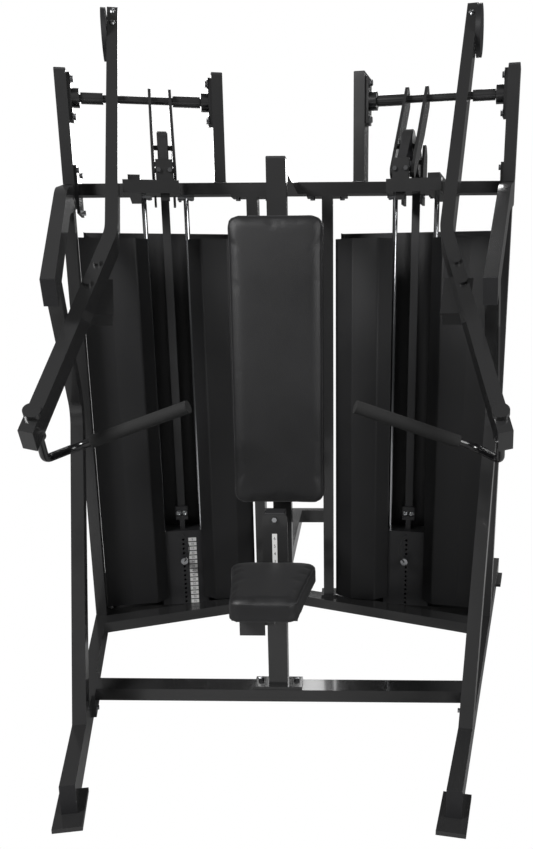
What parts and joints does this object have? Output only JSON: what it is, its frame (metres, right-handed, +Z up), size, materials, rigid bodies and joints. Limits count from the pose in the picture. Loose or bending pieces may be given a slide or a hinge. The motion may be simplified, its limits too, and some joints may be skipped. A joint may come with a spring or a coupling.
{
  "type": "converging chest press machine",
  "caption": "Plate-stack chest press with two independent overhead arms, belts and pulleys, selector pins, swivel grips, sliding seat and tall back pad.",
  "frame": {"origin": "floor level on the centre plane, midway between the front and back ends of the feet", "axes": "+Z up, -Y the way the user faces, X the symmetry normal"},
  "size_m": [1.9148, 2.105, 2.3349],
  "materials": {
    "belt": "ribbed belt",
    "board": "black stained ply",
    "cap_rubber": "moulded",
    "chrome": "polished",
    "foam": "matt foam",
    "gloss_black": "gloss powder coat",
    "lanyard": "braided cord",
    "paddle_black": "satin",
    "plate_paint": "painted",
    "pulley_nylon": "moulded nylon",
    "sheet_black": "textured powder coat",
    "upholstery": "grained vinyl"
  },
  "bodies": {
    "root": {"anchor_beams": "gloss_black", "axle_bearings": "gloss_black", "back_board": "board", "back_covers": "sheet_black", "back_pad": "upholstery", "back_post": "gloss_black", "base_beams": "gloss_black", "base_rails": "gloss_black", "belt_guides": "belt", "crossbar": "gloss_black", "end_caps": "cap_rubber", "frame_bolts": "chrome", "front_braces": "gloss_black", "front_crossbar": "gloss_black", "guide_rods": "chrome", "inner_posts": "gloss_black", "inner_shrouds": "sheet_black", "inner_uprights": "gloss_black", "left_belt_lift": "belt", "outer_posts": "gloss_black", "outer_shrouds": "sheet_black", "resting_plates": "plate_paint", "right_belt_lift": "belt", "rod_bumpers": "cap_rubber", "seat_upright": "gloss_black", "tower_uprights": "gloss_black"},
    "seat": {"seat_carriage": "gloss_black", "seat_pad": "upholstery"},
    "seat_release": {"seat_lever": "paddle_black"},
    "right_arm": {"right_axle": "gloss_black", "right_lever": "gloss_black", "right_press_arm": "gloss_black", "right_counterweight": "plate_paint", "right_arm_stop": "gloss_black", "right_handle_bolt": "gloss_black", "right_belt_loop": "belt"},
    "right_handle": {"right_handle_tube": "gloss_black", "right_grip": "foam"},
    "right_moving_wheel": {"right_moving_pulley": "pulley_nylon"},
    "right_fixed_wheel": {"right_fixed_pulley": "pulley_nylon"},
    "right_stack": {"right_top_plate": "plate_paint", "right_lifted_plates": "plate_paint"},
    "right_pin": {"right_selector_pin": "chrome", "right_pin_lanyard": "lanyard"},
    "left_arm": {"left_axle": "gloss_black", "left_lever": "gloss_black", "left_press_arm": "gloss_black", "left_counterweight": "plate_paint", "left_arm_stop": "gloss_black", "left_handle_bolt": "gloss_black", "left_belt_loop": "belt"},
    "left_handle": {"left_handle_tube": "gloss_black", "left_grip": "foam"},
    "left_moving_wheel": {"left_moving_pulley": "pulley_nylon"},
    "left_fixed_wheel": {"left_fixed_pulley": "pulley_nylon"},
    "left_stack": {"left_top_plate": "plate_paint", "left_lifted_plates": "plate_paint"},
    "left_pin": {"left_selector_pin": "chrome", "left_pin_lanyard": "lanyard"}
  },
  "joints": [
    {"name": "right_press", "type": "hinge", "parent": "root", "child": "right_arm", "pos_m": [0.51645, 0.45584, 1.955], "axis": [-0.9781, 0.2079, 0], "range_deg": [0, 30]},
    {"name": "right_lift", "type": "slide", "parent": "root", "child": "right_stack", "axis": [0, 0, 1], "range_m": [0, 0.18], "deforming": ["right_belt_lift"]},
    {"name": "right_pin_slide", "type": "slide", "parent": "right_stack", "child": "right_pin", "axis": [-0.2079, -0.9781, 0], "range_m": [0, 0.07]},
    {"name": "right_fixed_turn", "type": "hinge", "parent": "root", "child": "right_fixed_wheel", "pos_m": [0.45354, 0.44846, 1.745], "axis": [0.9781, -0.2079, 0], "range_deg": [0, 203]},
    {"name": "right_moving_turn", "type": "hinge", "parent": "right_arm", "child": "right_moving_wheel", "pos_m": [0.42013, 0.29125, 1.77398], "axis": [0.9781, -0.2079, 0], "range_deg": [0, 134]},
    {"name": "right_handle_swivel", "type": "hinge", "parent": "right_arm", "child": "right_handle", "pos_m": [0.62579, -0.58814, 0.95656], "axis": [-0.147, -0.6917, 0.7071], "range_deg": [-20, 20]},
    {"name": "left_press", "type": "hinge", "parent": "root", "child": "left_arm", "pos_m": [-0.51645, 0.45584, 1.955], "axis": [-0.9781, -0.2079, 0], "range_deg": [0, 30]},
    {"name": "left_lift", "type": "slide", "parent": "root", "child": "left_stack", "axis": [0, 0, 1], "range_m": [0, 0.18], "deforming": ["left_belt_lift"]},
    {"name": "left_pin_slide", "type": "slide", "parent": "left_stack", "child": "left_pin", "axis": [0.2079, -0.9781, 0], "range_m": [0, 0.07]},
    {"name": "left_fixed_turn", "type": "hinge", "parent": "root", "child": "left_fixed_wheel", "pos_m": [-0.45354, 0.44846, 1.745], "axis": [0.9781, 0.2079, 0], "range_deg": [0, 203]},
    {"name": "left_moving_turn", "type": "hinge", "parent": "left_arm", "child": "left_moving_wheel", "pos_m": [-0.42013, 0.29125, 1.77398], "axis": [0.9781, 0.2079, 0], "range_deg": [0, 134]},
    {"name": "left_handle_swivel", "type": "hinge", "parent": "left_arm", "child": "left_handle", "pos_m": [-0.62579, -0.58814, 0.95656], "axis": [0.147, -0.6917, 0.7071], "range_deg": [-20, 20]},
    {"name": "seat_slide", "type": "slide", "parent": "root", "child": "seat", "axis": [0, 0, 1], "range_m": [-0.15, 0.09]},
    {"name": "seat_release_hinge", "type": "hinge", "parent": "seat", "child": "seat_release", "pos_m": [-0.042, -0.70384, 0.44], "axis": [-1, 0, 0], "range_deg": [0, 20], "stiffness_Nm_per_rad": 0.6}
  ],
  "couplings": [
    {"joint": "right_lift", "follows": "right_press", "m_per_rad": 0.3361},
    {"joint": "right_fixed_turn", "follows": "right_press", "ratio": 6.6823},
    {"joint": "right_moving_turn", "follows": "right_press", "ratio": 4.3747},
    {"joint": "left_lift", "follows": "left_press", "m_per_rad": 0.3361},
    {"joint": "left_fixed_turn", "follows": "left_press", "ratio": 6.6823},
    {"joint": "left_moving_turn", "follows": "left_press", "ratio": 4.3747}
  ]
}
